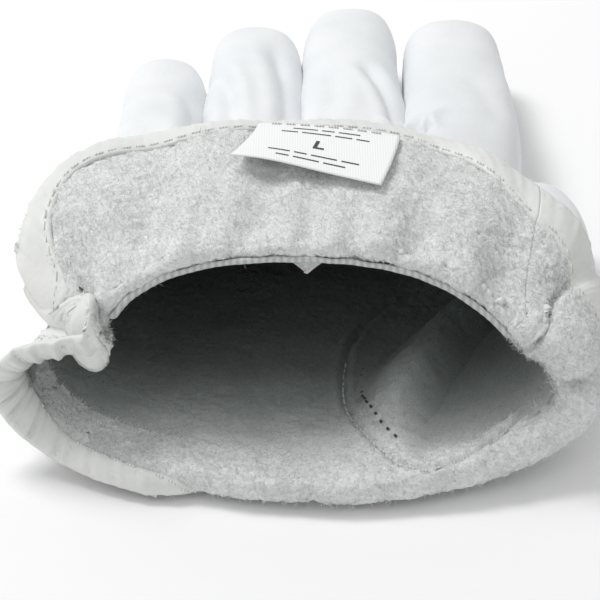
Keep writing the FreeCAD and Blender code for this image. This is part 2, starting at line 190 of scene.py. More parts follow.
def gathers(t, s):
    """How far the drawn-up leather dips below its smooth surface."""
    dip = np.zeros(np.broadcast(t, s).shape)
    for centre, width, depth, run, slant in CREASES:
        drift = centre + slant * np.maximum(s, 0) * 2
        rise = smooth(1.0, 7.5, s) * np.exp(-np.maximum(s - 6, 0) / run)
        dip = dip + 1.3 * depth * near(t, drift, width * (1 + np.maximum(s, 0) / 45)) * rise
    ripple = np.sin(np.radians(t) * 38 + 2 * np.sin(np.radians(t) * 5))
    band = smooth(20, 45, t) * (1 - smooth(150, 162, t))
    return dip + 0.4 * ripple * band * np.exp(-((s - 7) / 4) ** 2)


def cuff(t, s, lift=0.0):
    """Points on the lining and the turned-back cuff. lift is towards the side that shows."""
    t, s, lift = (np.array(v, float) for v in np.broadcast_arrays(t, s, lift))
    edge_y = mouth_y(t) + TURN
    radius = turn_radius(t)
    lift = lift - gathers(t, s)
    bend = np.clip(s / radius, 0, math.pi)
    back = np.maximum(s - math.pi * radius, 0)
    y = edge_y + np.maximum(-s, 0) + back
    p = wall(t, y)
    _, _, low, high = np.moveaxis(along(HAND, y), -1, 0)
    raised = smooth(0.12, 0.6, (p[..., 2] - low) / (high - low))
    bulge = 4.5 * smooth(-46, -14, y) * near(t, 0, 45)
    flare = (8.0 * raised * smooth(0, 50, back) + bulge + 4.0 * near(t, 148, 16) * smooth(0, 40, back)) * (s > 0)
    away = radius - (radius + lift) * np.cos(bend) + flare
    p = p + outward(t, y) * away[..., None]
    p[..., 1] -= (radius + lift) * np.sin(bend)
    p[..., 2] = np.maximum(p[..., 2], 1.5)
    return p


t_check = np.array([90.0, 0.0, 150.0])
print("the hem lies at", np.round(cuff(t_check, turned(t_check)), 1).tolist())

# %% [markdown]
# The thumb is set into a hole in the palm. Its leather meets the palm's in a seam that runs in a loop, and
# the web between thumb and palm stands up inside the glove as a soft ridge. Beyond the ridge the leather
# falls away into the thumb. All of it is one displacement of the inner wall.

# %% The way into the thumb
# x, y of the ridge's line, and its height
RIDGE = np.array([(22.0, -76, 0.3), (20.0, -60, 3.0), (21.2, -53, 6.0), (23.4, -47.6, 7.6), (28.7, -35, 8.2),
                  (35.2, -21.6, 8.6), (40.6, -15.6, 9), (47, -7, 9), (54, 4, 9)], float)
# x, y of the seam's loop
LOOP = np.array([(22, 4), (15.5, -6), (11.4, -20.8), (9.9, -37.3), (10.4, -48.7), (12.7, -57.6), (16.7, -66.2),
                 (21.5, -73.2), (27.5, -75.6), (34.9, -72.9), (41.6, -68.5), (46.1, -63.6), (50.9, -57.8),
                 (53.6, -53.0), (55, -46)], float)


def to_line(x, y, line):
    """Distance from points to a row of points, the share of the way along it, and which side they are on."""
    best = np.full(x.shape, 1e9)
    share, side = np.zeros(x.shape), np.ones(x.shape)
    for k in range(len(line) - 1):
        a, run = line[k, :2], line[k + 1, :2] - line[k, :2]
        f = np.clip(((x - a[0]) * run[0] + (y - a[1]) * run[1]) / (run @ run), 0, 1)
        off_x, off_y = x - a[0] - f * run[0], y - a[1] - f * run[1]
        far = np.hypot(off_x, off_y)
        nearer = far < best
        best = np.where(nearer, far, best)
        share = np.where(nearer, k + f, share)
        side = np.where(nearer, np.sign(off_x * run[1] - off_y * run[0]), side)
    return best, share, side


def thumb_form(p):
    """Moves points of the inner wall into the seam, the ridge and the hollow of the thumb."""
    x, y, z = p[..., 0], p[..., 1], p[..., 2]
    ceiling = 34 - 7 * smooth(-34, -18, y)
    floor = smooth(ceiling, ceiling - 10, z) * smooth(-84, -76, y)
    far, share, side = to_line(x, y, RIDGE)
    height = np.interp(share, np.arange(len(RIDGE)), RIDGE[:, 2])
    signed = far * side
    mound = np.where(signed < 0, 1 - smooth(0, 12, -signed), 1 - smooth(1.5, 5.5, signed))
    hem_far, _, _ = to_line(x, y, LOOP)
    inside = smooth(4, 20, y - np.interp(x, LOOP[8:, 0], LOOP[8:, 1]))
    hollow = smooth(2.5, 9, signed) * inside
    groove = 0.5 * np.exp(-((hem_far - 1.8) / 1.0) ** 2) - 0.9 * np.exp(-(hem_far / 0.8) ** 2)
    low = smooth(26, 14, z)
    moved = p.copy()
    moved[..., 0] = x + floor * (11 * hollow * low - 1.5 * mound * height / 9)
    moved[..., 2] = z + floor * (height * mound - 0.8 * (z - 2.0) * hollow + groove)
    moved[..., 2] = np.maximum(moved[..., 2], 1.5)
    return moved


print("seam loop:", len(LOOP), "points")

# %% [markdown]
# ## Helpers
# A sheet of leather starts as a flat grid primitive. Its vertices are counted off in rows, so a function
# of two numbers from 0 to 1 can carry each one to its place: the same as drawing the sheet over a form.

# %% Making a sheet
def formed(name, columns, rows, point):
    """A grid primitive laid over a form. point(u, v) takes arrays and gives millimetres."""
    bpy.ops.object.select_all(action="DESELECT")
    bpy.ops.mesh.primitive_grid_add(x_subdivisions=columns, y_subdivisions=rows, size=1, location=(0, 0, 0))
    piece = bpy.context.object
    piece.name = piece.data.name = name
    flat = np.empty(len(piece.data.vertices) * 3)
    piece.data.vertices.foreach_get("co", flat)
    flat = flat.reshape(-1, 3)
    u, v = flat[:, 0] + 0.5, flat[:, 1] + 0.5
    p = point(u, v)
    spot = np.stack([(p[:, 0] + SET_X) / 1000, (p[:, 1] + SET_Y) / 1000, p[:, 2] / 1000], -1)
    piece.data.vertices.foreach_set("co", spot.ravel())
    piece.data.update()
    return piece


def apply_all(piece):
    """Applies every modifier of a piece, from the first to the last."""
    bpy.ops.object.select_all(action="DESELECT")
    bpy.context.view_layer.objects.active = piece
    piece.select_set(True)
    for modifier in list(piece.modifiers):
        bpy.ops.object.modifier_apply(modifier=modifier.name)


def flip(piece):
    """Turns a piece's faces over."""
    bpy.ops.object.select_all(action="DESELECT")
    bpy.context.view_layer.objects.active = piece
    piece.select_set(True)
    bpy.ops.object.mode_set(mode="EDIT")
    bpy.ops.mesh.select_all(action="SELECT")
    bpy.ops.mesh.flip_normals()
    bpy.ops.object.mode_set(mode="OBJECT")


def thicken(piece, thickness, back_slot=0):
    """Gives a sheet its thickness behind the side that shows."""
    modifier = piece.modifiers.new("thickness", "SOLIDIFY")
    modifier.thickness = thickness / 1000
    modifier.offset = -1
    modifier.use_even_offset = False
    modifier.material_offset = back_slot
    modifier.material_offset_rim = back_slot


def soft(piece):
    """Shades a piece smooth."""
    piece.data.polygons.foreach_set("use_smooth", [True] * len(piece.data.polygons))
    piece.data.update()


def roughen(piece, size, depth, seed_name):
    """Raises a fine random relief, with lumps of the given size, on a piece's vertices."""
    texture = bpy.data.textures.new(seed_name, "CLOUDS")
    texture.noise_scale = size / 1000
    texture.noise_depth = 2
    modifier = piece.modifiers.new("relief", "DISPLACE")
    modifier.texture = texture
    modifier.texture_coords = "LOCAL"
    modifier.strength = depth / 1000
    modifier.mid_level = 0.5


print("helpers ready")

# %% [markdown]
# ## Materials
# Full-grain goat leather, drum-dyed white, keeps its fine pebble and a faint satin gloss. Its flesh side
# is buffed to a nap: millimetre-long fibres that scatter light. Their colour is light on the tips and grey
# between them: partly the nap's own uneven tone and partly painted shade in the hollows of its relief.
# Each colour is an sRGB hex value, turned to linear by one function.

# %% Material helpers
def linear(code):
    """A hex colour as linear red, green and blue, with full alpha."""
    parts = [int(code[i:i + 2], 16) / 255 for i in (1, 3, 5)]
    return tuple(c / 12.92 if c <= 0.04045 else ((c + 0.055) / 1.055) ** 2.4 for c in parts) + (1.0,)


def add(tree, kind, settings=None, links=None):
    """Adds a node with its settings, and links: input name or number to an output socket."""
    node = tree.nodes.new(kind)
    for key, value in (settings or {}).items():
        if key in node.inputs:
            node.inputs[key].default_value = value
        else:
            setattr(node, key, value)
    for key, socket in (links or {}).items():
        tree.links.new(socket, node.inputs[key])
    return node


def new_material(name, roughness, **sockets):
    """A material with one principled shader. Returns the material, its tree and the shader."""
    material = bpy.data.materials.new(name)
    material.use_nodes = True
    tree = material.node_tree
    shader = tree.nodes["Principled BSDF"]
    shader.inputs["Roughness"].default_value = roughness
    for key, value in sockets.items():
        shader.inputs[key.replace("_", " ")].default_value = value
    return material, tree, shader


def per_mm(size):
    """The scale at which a noise pattern on object coordinates, in metres, repeats about every size mm."""
    return 1000 / size


def ramp(tree, factor, stops):
    """A colour ramp over a factor, from a list of positions and hex colours."""
    node = add(tree, "ShaderNodeValToRGB", {}, {"Fac": factor})
    bar = node.color_ramp
    while len(bar.elements) < len(stops):
        bar.elements.new(0.5)
    for element, (position, code) in zip(bar.elements, stops):
        element.position = position
        element.color = linear(code)
    return node.outputs["Color"]


print("material helpers ready")

# %% The leather's flesh side
def flesh_side(name, painted_depth_shade):
    """Buffed goat suede: a pale nap of curled fibres. Its flag greys it with painted shade, darker further into the
    glove.
    """
    material, tree, shader = new_material(name, 0.95, Sheen_Weight=0.35, Sheen_Roughness=0.6,
                                          Specular_IOR_Level=0.2)
    where = add(tree, "ShaderNodeTexCoord").outputs["Object"]
    curl = add(tree, "ShaderNodeTexNoise", {"Scale": per_mm(1.1), "Detail": 4.0, "Roughness": 0.65,
                                            "Distortion": 1.6}, {"Vector": where})
    patch = add(tree, "ShaderNodeTexNoise", {"Scale": per_mm(9), "Detail": 2.0}, {"Vector": where})
    fine = add(tree, "ShaderNodeTexNoise", {"Scale": per_mm(0.45), "Detail": 2.0, "Distortion": 1.0},
               {"Vector": where})
    # the nap's colour follows the same noise as its bump, so it is grey in the relief's hollows: painted shade on
    # top of the nap's own uneven tone
    nap = ramp(tree, curl.outputs["Fac"], [(0.30, "#cdd2d0"), (0.45, "#f2f4f3"), (0.60, "#ffffff")])
    cloud = ramp(tree, patch.outputs["Fac"], [(0.3, "#e6e9e8"), (0.7, "#ffffff")])
    mixed = add(tree, "ShaderNodeMix", {"data_type": "RGBA", "blend_type": "MULTIPLY"}, {6: nap, 7: cloud})
    mixed.inputs[0].default_value = 0.6
    colour = mixed.outputs[2]
    if painted_depth_shade:
        # painted shade: the colour is greyed further into the glove, standing in for the shadow inside it
        apart = add(tree, "ShaderNodeSeparateXYZ", {}, {0: where})
        deep = add(tree, "ShaderNodeMapRange", {"From Min": place(0, -68, 0)[1], "From Max": place(0, -28, 0)[1]},
                   {"Value": apart.outputs["Y"]})
        shade = ramp(tree, deep.outputs["Result"], [(0.0, "#ffffff"), (0.5, "#aab0af"), (1.0, "#6f7776")])
        shaded_colour = add(tree, "ShaderNodeMix", {"data_type": "RGBA", "blend_type": "MULTIPLY"}, {6: colour, 7: shade})
        shaded_colour.inputs[0].default_value = 1.0
        colour = shaded_colour.outputs[2]
    tree.links.new(colour, shader.inputs["Base Color"])
    low = add(tree, "ShaderNodeBump", {"Strength": 0.9, "Distance": 0.0006}, {"Height": curl.outputs["Fac"]})
    high = add(tree, "ShaderNodeBump", {"Strength": 0.5, "Distance": 0.0003},
               {"Height": fine.outputs["Fac"], "Normal": low.outputs["Normal"]})
    tree.links.new(high.outputs["Normal"], shader.inputs["Normal"])
    return material


SUEDE = flesh_side("goat_suede", False)
# the lining's colour holds painted shade, darker deeper in the glove
LINING = flesh_side("goat_suede_lining_painted_shade", True)
print("materials:", SUEDE.name, LINING.name)

# %% The leather's grain side
def grain_side(name, colour, dark, roughness):
    """Full-grain goat leather: a fine pebble of shallow cells, with a faint satin gloss on the crests."""
    material, tree, shader = new_material(name, roughness, Specular_IOR_Level=0.35)
    where = add(tree, "ShaderNodeTexCoord").outputs["Object"]
    cells = add(tree, "ShaderNodeTexVoronoi", {"Scale": per_mm(1.3), "feature": "SMOOTH_F1"}, {"Vector": where})
    pores = add(tree, "ShaderNodeTexNoise", {"Scale": per_mm(0.9), "Detail": 5.0}, {"Vector": where})
    patch = add(tree, "ShaderNodeTexNoise", {"Scale": per_mm(22), "Detail": 3.0}, {"Vector": where})
    base = ramp(tree, patch.outputs["Fac"], [(0.3, dark), (0.7, colour)])
    tree.links.new(base, shader.inputs["Base Color"])
    pebble = add(tree, "ShaderNodeBump", {"Strength": 0.25, "Distance": 0.0003},
                 {"Height": cells.outputs["Distance"]})
    fine = add(tree, "ShaderNodeBump", {"Strength": 0.15, "Distance": 0.0002},
               {"Height": pores.outputs["Fac"], "Normal": pebble.outputs["Normal"]})
    tree.links.new(fine.outputs["Normal"], shader.inputs["Normal"])
    return material


GRAIN = grain_side("goat_grain_leather", "#eff1f3", "#e6e9eb", 0.55)
BINDING_LEATHER = grain_side("goat_binding_leather", "#e9eae8", "#dddfdc", 0.45)
print("materials:", GRAIN.name, BINDING_LEATHER.name)

# %% Thread, elastic and label cloth
def cloth(name, light, dark, pitch, roughness):
    """A woven or twisted cloth: fine ribs a thread apart."""
    material, tree, shader = new_material(name, roughness, Sheen_Weight=0.15)
    where = add(tree, "ShaderNodeTexCoord").outputs["Object"]
    ribs = add(tree, "ShaderNodeTexWave", {"Scale": per_mm(pitch * 6.28), "Distortion": 0.6}, {"Vector": where})
    tree.links.new(ramp(tree, ribs.outputs["Fac"], [(0.2, dark), (0.8, light)]), shader.inputs["Base Color"])
    bump = add(tree, "ShaderNodeBump", {"Strength": 0.3, "Distance": 0.0001}, {"Height": ribs.outputs["Fac"]})
    tree.links.new(bump.outputs["Normal"], shader.inputs["Normal"])
    return material


THREAD = cloth("polyester_thread", "#e6e8e6", "#c2c6c3", 0.35, 0.6)
ELASTIC = cloth("knitted_elastic", "#d6dad8", "#bcc2bf", 0.8, 0.85)
SATIN = cloth("satin_label_cloth", "#fbfcfc", "#f3f5f5", 0.3, 0.5)
# the dark print colour serves the label's printing and, on the needle holes, as painted shade
INK_AND_HOLE_SHADE = cloth("label_print_and_hole_shade", "#3c4142", "#2c3132", 0.3, 0.7)
print("materials:", THREAD.name, ELASTIC.name, SATIN.name, INK_AND_HOLE_SHADE.name)

# %% [markdown]
# ## The cuff, turned inside out
# The turned-back leather shows its flesh side, from just inside the mouth, round the turn and up to the
# hem. It is drawn at about half a millimetre, so that the nap can be raised out of it as real relief, and
# it is made in panels, as the glove is cut: a back, which ends at the vent, and a palm.

# %% Cuff panels
NAP = 1.0  # height of the raised nap
INSIDE = -9.0  # where the cuff's own panels end, inside the mouth
SEAM = 35.0
VENT_BACK, VENT_PALM = 174.0, 175.0


def cuff_panel(name, first, last, columns, rows, body, nodes):
    """One panel of the cuff between two angles."""
    def point(u, v):
        t = first + (last - first) * u
        span = turned(t) - INSIDE
        return thumb_form(cuff(t, INSIDE + span * v ** 1.05, 0.5))
    piece = formed(name, columns, rows, point)
    flip(piece)
    piece.data.materials.append(SUEDE)
    piece.data.materials.append(BINDING_LEATHER)
    roughen(piece, 1.0, NAP, name + "_nap")
    roughen(piece, 2.6, NAP, name + "_tufts")
    roughen(piece, 14, 1.4, name + "_lumps")
    thicken(piece, 1.0, 1)
    apply_all(piece)
    soft(piece)
    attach(piece, body)
    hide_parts(*nodes)
    return piece


cuff_back = cuff_panel("cuff_back_leather", SEAM, VENT_BACK, 290, 150, "hand", ["cuff_back"])
cuff_palm = cuff_panel("cuff_palm_leather", VENT_PALM - 360, SEAM, 420, 104, "hand", ["cuff_palm"])
print("cuff faces:", len(cuff_back.data.polygons), len(cuff_palm.data.polygons))

# %% [markdown]
# The nap's longest fibres stand clear of it, and show best against the edges. Each is a thin curved blade
# of three faces, set at random on the flesh side. They share one mesh, because alone each would be far too
# small a piece.

# %% Loose fibres of the nap
FIBRES = 12000


def fibres(name, piece, count, body):
    """Scatters fibres on the faces of a piece that carry its first material."""
    mesh = piece.data
    total = len(mesh.polygons)
    centres, normals, slots = np.empty(total * 3), np.empty(total * 3), np.empty(total, int)
    mesh.polygons.foreach_get("center", centres)
    mesh.polygons.foreach_get("normal", normals)
    mesh.polygons.foreach_get("material_index", slots)
    chance = np.random.default_rng(11)
    chosen = chance.choice(np.flatnonzero(slots == 0), count)
    root, up = centres.reshape(-1, 3)[chosen], normals.reshape(-1, 3)[chosen]
    lean = chance.normal(size=(count, 3)) * 0.8
    lean -= up * (lean * up).sum(1)[:, None]
    side = np.cross(up, lean)
    side /= np.linalg.norm(side, axis=1)[:, None]
    length = chance.uniform(0.0005, 0.0014, (count, 1))
    wide = 0.00005
    middle = root + (up * 0.6 + lean * 0.25) * length
    tip = root + (up * 0.9 + lean) * length
    points = np.stack([root - side * wide, root + side * wide, middle - side * wide, middle + side * wide, tip], 1)
    points[..., 2] = np.maximum(points[..., 2], 0.0002)
    start = np.arange(count)[:, None] * 5
    quads = (start + [0, 1, 3, 2]).tolist()
    tips = (start + [2, 3, 4]).tolist()
    blades = bpy.data.meshes.new(name)
    blades.from_pydata(points.reshape(-1, 3).tolist(), [], quads + tips)
    blades.materials.append(SUEDE)
    tuft = bpy.data.objects.new(name, blades)
    bpy.context.scene.collection.objects.link(tuft)
    soft(tuft)
    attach(tuft, body)
    return tuft


fibres("cuff_back_fibres", cuff_back, FIBRES, "hand")
fibres("cuff_palm_fibres", cuff_palm, FIBRES, "hand")
print("fibres:", 2 * FIBRES)

# %% [markdown]
# ## The inside of the hand
# Behind the mouth the same flesh side lines the whole bag. Only the first stretch is ever seen, so it is
# made as far as the knuckles.

# %% Lining panels
def lining_panel(name, first, last, columns, rows):
    """The inner face of a panel of the hand, from the mouth to the knuckles."""
    def point(u, v):
        t = first + (last - first) * u
        deepest = mouth_y(t) + TURN - 40
        start = INSIDE + 0.6
        return thumb_form(cuff(t, start + (deepest - start) * v, 0.35 + 2.0 * v))
    piece = formed(name, columns, rows, point)
    # the lining material darkens with depth into the glove: painted shade
    piece.data.materials.append(LINING)
    roughen(piece, 1.3, NAP, name + "_nap")
    roughen(piece, 14, 1.6, name + "_lumps")
    thicken(piece, 0.5)
    apply_all(piece)
    soft(piece)
    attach(piece, "hand")
    return piece


lining_back = lining_panel("back_lining_face", SEAM, VENT_PALM, 200, 120)
lining_palm = lining_panel("palm_lining_face", VENT_PALM - 360, SEAM, 330, 150)
print("lining faces:", len(lining_back.data.polygons), len(lining_palm.data.polygons))

# %% [markdown]
# ## The hem's binding
# A strip of thin smooth leather is folded over the cuff's raw edge and sewn through. Its path follows the
# hem, so it is worked out square to the hem on the cuff's own surface: nine millimetres in on the side
# that shows, round the edge, and back under. Where the hem turns in at the vent the strip has too much
# length on its inner side, and it puckers.

# %% The binding strip
BINDING = 9.0


# angle of the hem, angle and length of the strip's inner edge
INNER = np.array([
    (35, 35, 34), (48, 47, 43), (55, 54, 49), (66, 66, 54), (88, 88, 57.5), (106, 106, 57.5), (122, 121.5, 55),
    (135, 134, 53), (144, 142, 49), (150, 146, 42.5), (154, 148.5, 33.5), (158, 151, 26), (162, 154, 18),
    (166, 159, 10), (170, 165, 5), (173, 170, 2), (176, 175, 0.5), (180, 181, -0.5), (190, 190, 0), (212, 212, 0.3),
    (217, 217, 2), (222, 222, 3.5), (230, 230, 4), (240, 240, 4), (248, 248, 4.5), (256, 256, 8.5), (270, 270, 13),
    (290, 290, 19), (320, 320, 24), (350, 350, 27), (375, 375, 29), (387, 387, 31.5), (395, 395, 34)], float)


def wrapped(t):
    """The same angle, between -185 and 175."""
    return np.where(np.asarray(t, float) > 175, np.asarray(t, float) - 360, t)


def on_strip(t, leg, lift):
    """Points across the strip: leg is 0 at its inner edge, 1 at the hem and more past it."""
    t, leg, lift = (np.array(v, float) for v in np.broadcast_arrays(t, leg, lift))
    inner = along(INNER, t)
    hem = turned(wrapped(t))
    share = np.minimum(leg, 1)
    angle = inner[..., 0] + (t - inner[..., 0]) * share
    return cuff(angle, inner[..., 1] + (hem - inner[..., 1]) * share + np.maximum(leg - 1, 0) * BINDING, lift)


def puckers(t):
    """How strongly the binding is gathered at each angle: most of all round the vent."""
    return 0.10 + 0.45 * near(t, 176, 12) + 0.5 * near(t, 200, 16) + 0.2 * near(t, 225, 14)


def binding_point(u, v):
    """The folded strip: u runs round the hem, and v from its inner edge over the fold to the underside."""
    t = SEAM + 360 * u
    over, under, below = 0.62, 0.78, 1.2
    leg = np.clip(v / over, 0, 1)
    turn = np.clip((v - over) / (under - over), 0, 1) * math.pi
    back = np.clip((v - under) / (1 - under), 0, 1)
    edge = 1 - 0.8 * np.exp(-(leg / 0.10) ** 2)
    height = 0.35 + 0.9 * edge + 0.5 * np.sin(np.pi * leg)
    wave = (np.sin(u * 2 * np.pi * 84 + 3 * np.sin(u * 37)) + 0.6 * np.sin(u * 2 * np.pi * 151 + 2.0)
            + 0.5 * np.sin(u * 2 * np.pi * 39 + 1.0))
    height = height + puckers(t) * wave * (0.3 + 0.7 * leg)
    reach = np.where(v < over, leg, np.where(v < under, 1 + below * np.sin(turn) / BINDING, 1 - 0.6 * back))
    lift = np.where(v < over, height, height * (1 + np.cos(turn)) / 2 - below * (1 - np.cos(turn)) / 2)
    return on_strip(t, reach, lift)


binding = formed("hem_binding_strip", 760, 22, binding_point)
flip(binding)
binding.data.materials.append(BINDING_LEATHER)
roughen(binding, 5, 0.5, "binding_lumps")
thicken(binding, 0.7)
apply_all(binding)
soft(binding)
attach(binding, "hand")
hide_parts("hem_binding_back", "hem_binding_palm")
print("binding faces:", len(binding.data.polygons))

# %% [markdown]
# Each stitch is the same short capsule of thread, modelled once and copied along the seam, half sunk in
# the leather.

# %% Stitches
def stitch_mesh(length, width):
    """One stitch: a cylinder with its ends drawn in."""
    bpy.ops.object.select_all(action="DESELECT")
    bpy.ops.mesh.primitive_cylinder_add(vertices=8, radius=width / 2000, depth=length / 1000,
                                        rotation=(0, math.pi / 2, 0), location=(0, 0, 0))
    piece = bpy.context.object
    bpy.ops.object.transform_apply(location=False, rotation=True, scale=False)
    bevel = piece.modifiers.new("ends", "BEVEL")
    bevel.width = width / 3300
    bevel.segments = 2
    apply_all(piece)
    mesh = piece.data
    bpy.data.objects.remove(piece)
    return mesh


def stitch_row(name, points, length, width, body, nodes):
    """Copies a stitch to each point, along the row, as one piece. points are rows of x, y, z in millimetres."""
    single = stitch_mesh(length, width)
    whole = bmesh.new()
    for k in range(1, len(points) - 1):
        way = Vector(points[k + 1] - points[k - 1]).normalized()
        turn = way.to_track_quat("X", "Z").to_matrix().to_4x4()
        part = bmesh.new()
        part.from_mesh(single)
        turn.translation = Vector(place(*points[k]))
        part.transform(turn)
        spare = bpy.data.meshes.new("spare")
        part.to_mesh(spare)
        part.free()
        whole.from_mesh(spare)
        bpy.data.meshes.remove(spare)
    mesh = bpy.data.meshes.new(name)
    whole.to_mesh(mesh)
    whole.free()
    piece = bpy.data.objects.new(name, mesh)
    bpy.context.scene.collection.objects.link(piece)
    mesh.materials.append(THREAD)
    soft(piece)
    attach(piece, body)
    if nodes:
        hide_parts(*nodes)
    return piece


def even_steps(curve, pitch):
    """Points a pitch apart along a dense row of points."""
    run = np.concatenate([[0], np.cumsum(np.linalg.norm(np.diff(curve, axis=0), axis=1))])
    at = np.arange(0, run[-1], pitch)
    return np.stack([np.interp(at, run, curve[:, k]) for k in range(3)], -1)


hem_row = even_steps(on_strip(np.linspace(SEAM, SEAM + 360, 1500), 0.13, 1.25), 3.4)
stitch_row("hem_thread", hem_row, 2.2, 0.55, "hand", ["hem_stitches"])
print("hem stitches:", len(hem_row))

# %% [markdown]
# ## The elastic
# A knitted tape is sewn, stretched, inside the top of the mouth. Slack now, it draws the leather into the
# creases above it, and its own edge shows as a thin, clean line.

# %% Elastic tape, its thread and the loose corner of leather
def tape_point(u, v):
    t = 34 + 102 * u
    s = 2.2 - 7.5 * v
    return cuff(t, s, 1.75 - 0.2 * np.cos(u * 2 * np.pi * 46) * v)


tape = formed("elastic_tape", 300, 14, tape_point)
tape.data.materials.append(ELASTIC)
thicken(tape, 0.9)
apply_all(tape)
soft(tape)
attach(tape, "hand")
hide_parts("elastic_band")
tape_row = even_steps(cuff(np.linspace(38, 132, 900), -3.0, 1.85), 3.0)
stitch_row("elastic_thread", tape_row, 2.0, 0.5, "hand", ["elastic_stitches"])


def corner_point(u, v):
    """A small triangle of leather that hangs from the tape's edge."""
    across = (u - 0.5) * 13 * (1 - v)
    p = cuff(87.0, -5.0, 1.7)
    return np.stack([p[0] + across, p[1] - 2.0 * v + 0.4 * np.sin(4 * u), p[2] - 4.6 * v + 0 * u], -1)


corner = formed("leather_corner", 16, 10, corner_point)
corner.data.materials.append(SUEDE)
thicken(corner, 0.9)
apply_all(corner)
soft(corner)
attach(corner, "hand")
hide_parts("corner_tab")
print("elastic faces:", len(tape.data.polygons))

# %% Thread and needle holes of the thumb's seam; the holes are dark marks of painted shade
inner_t, inner_s = np.meshgrid(np.linspace(-84, -25, 240), np.linspace(-62, 0, 240), indexing="ij")
inner_wall = cuff(inner_t, inner_s, 0.5)
inner_form = thumb_form(inner_wall)


def on_floor(line):
    """The points of the inner wall, as it is formed, nearest above a row of x and y."""
    spots = []
    for x, y in line:
        k = np.argmin((inner_wall[..., 0] - x) ** 2 + (inner_wall[..., 1] - y) ** 2)
        spots.append(inner_form.reshape(-1, 3)[k])
    return np.array(spots)


def dense(line, count):
    """A smooth, even row of points through the corners of a line."""
    rows = np.column_stack([np.arange(len(line)), line])
    return along(rows, np.linspace(0, len(line) - 1.001, count))


loop = on_floor(dense(LOOP[1:-1], 260))
loop_row = even_steps(loop + (0, 0, 0.45), 3.2)
stitch_row("thumb_loop_thread", loop_row, 2.1, 0.5, "hand", [])
second = LOOP[2:8] + np.array([(4.2, 0), (4.2, 0.5), (4.2, 1), (3.8, 2), (3.2, 3), (2.5, 4.5)])
holes = even_steps(on_floor(dense(second, 160)) + (0, 0, 0.35), 3.3)
# the needle holes are small dark capsules in the print's colour: painted shade standing in for the shade inside the
# holes
needle_holes = stitch_row("needle_holes", holes, 0.7, 0.7, "hand", [])
needle_holes.data.materials[0] = INK_AND_HOLE_SHADE
print("thumb seam stitches:", len(loop_row), "needle holes:", len(holes))

# %% [markdown]
# ## The outside of the hand
# The grain side is one smooth bag with four fingers and a thumb. A cage of a few hundred faces gives its
# form: rings of twenty points along the hand, which split into a ring of eight for each finger. The
# subdivision surface rounds it, and soft folds are pressed into it afterwards.

# %% The cage
# name, hinge y, x at the knuckle, x at the tip, y of the tip, half width
FINGERS = (("little", 43.0, -36.8, -37.6, 110.0, 11.8), ("ring", 49.0, -12.6, -12.2, 134.0, 13.2),
           ("middle", 51.0, 14.2, 14.4, 149.0, 13.8), ("index", 49.0, 42.8, 43.6, 140.0, 15.0))
COLUMN_X = (-48.0, -36.3, -24.3, -12.2, 0.5, 13.6, 27.3, 41.6, 55.4)  # edges and middles of the fingers
SWELL = 1.06  # the cage stands outside the surface that it rounds to


def ring_angles(y):
    """Twenty angles round the hand, so that the points lie in line with the fingers."""
    left, right, _, _ = along(HAND, float(y))
    share = [(x - COLUMN_X[0]) / (COLUMN_X[-1] - COLUMN_X[0]) for x in COLUMN_X[1:-1]]
    top = [math.degrees(math.acos(2 * f - 1)) for f in share]
    return [0, 22] + top[::-1] + [158, 180, 202] + [360 - a for a in top] + [338]


def knuckle_y(x):
    """The y of the gaps between the fingers, at this x."""
    little, ring, middle, index = (f[1] for f in FINGERS)
    y = little + (ring - little) * smooth(-30, -18, x) + (middle - ring) * smooth(-4, 6, x)
    return y + (index - middle) * smooth(22, 34, x)


cage = bmesh.new()
STATIONS = (-58.0, -40.0, -24.0, -8.0, 8.0, 24.0, 38.0, None)
rings = []
for station in STATIONS:
    ring = []
    for k, t in enumerate(ring_angles(50.0 if station is None else station)):
        x = float(wall(t, 50.0)[0])
        y = float(knuckle_y(x)) if station is None else station
        if station == STATIONS[0]:
            y = float(mouth_y(t)) + TURN + 3.0
        elif station is not None:
            first = float(mouth_y(t)) + TURN + 3.0
            y = max(y, first + 6.0 * (station - STATIONS[0]) / 18)
        p = wall(t, y) + outward(t, y) * 0.9
        centre = (wall(90, y) + wall(270, y)) / 2
        p = centre + (p - centre) * (1.03, 1.0, 1.03)
        ring.append(cage.verts.new(place(*p)))
    rings.append(ring)
THUMB_SLOT = 5  # the fingers have slots 1 to 4
THUMB_ROWS = (2, 3)  # the two bands of the hand's rings that open into the thumb
for row, (a, b) in enumerate(zip(rings, rings[1:])):
    for k in range(20):
        if row in THUMB_ROWS and k in (0, 19):
            continue
        cage.faces.new((a[k], a[(k + 1) % 20], b[(k + 1) % 20], b[k]))
print("hand rings:", len(rings))

# %% Fingers on the cage
def tube_on(boundary, stations, point, slot, tip):
    """Carries a ring of eight on through more rings to a closed tip."""
    last = boundary
    for station in stations:
        ring = [cage.verts.new(place(*point(k, station))) for k in range(8)]
        for k in range(8):
            face = cage.faces.new((last[k], last[(k + 1) % 8], ring[(k + 1) % 8], ring[k]))
            face.material_index = slot
        last = ring
    end = cage.verts.new(place(*tip))
    for k in range(0, 8, 2):
        face = cage.faces.new((last[k], last[(k + 1) % 8], last[(k + 2) % 8], end))
        face.material_index = slot


